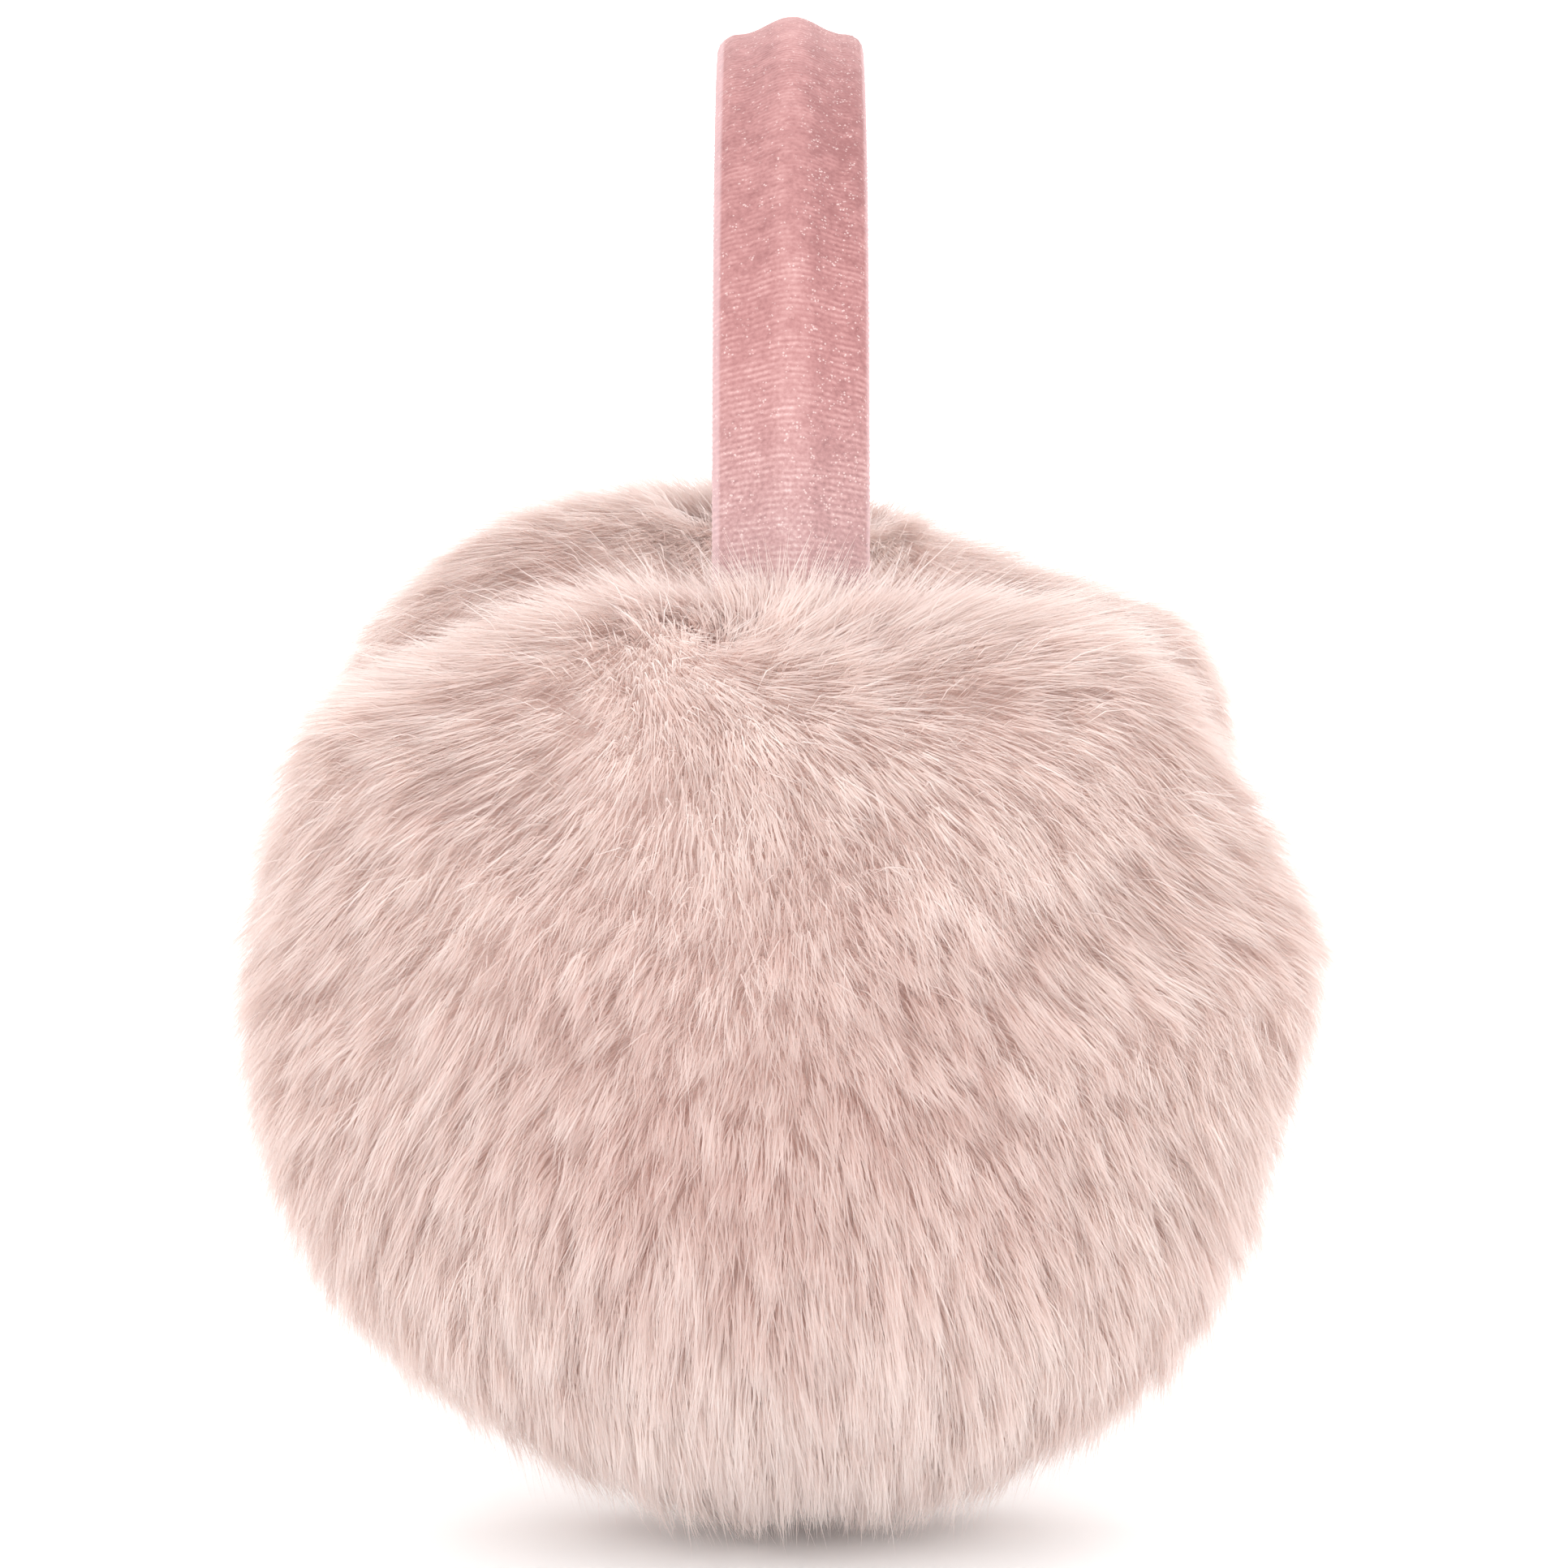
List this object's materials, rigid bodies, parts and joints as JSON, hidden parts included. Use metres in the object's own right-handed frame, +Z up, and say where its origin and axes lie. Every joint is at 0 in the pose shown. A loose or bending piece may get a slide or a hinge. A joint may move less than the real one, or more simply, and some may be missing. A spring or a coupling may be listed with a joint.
{
  "type": "fur earmuffs",
  "caption": "Earmuffs: a sprung headband in a ridged velvet sleeve with a round long-haired fur muff and a padded ear disc at each end, standing on the muffs.",
  "frame": {"origin": "middle of the footprint, on the surface that the two muffs stand on", "axes": "+X runs from ear to ear towards the wearer's left ear when the wearer faces -Y, +Z is up towards the crown of the band"},
  "size_m": [0.236, 0.1444, 0.1998],
  "materials": {
    "velvet": "dusty rose knitted velvet with a soft sheen",
    "fur": "blush pink long-haired faux fur",
    "plush": "short plush in pink"
  },
  "bodies": {
    "root": {"headband": "velvet", "fur_left": "fur", "fur_right": "fur", "ear_pad_left": "plush", "ear_pad_right": "plush"}
  },
  "joints": []
}
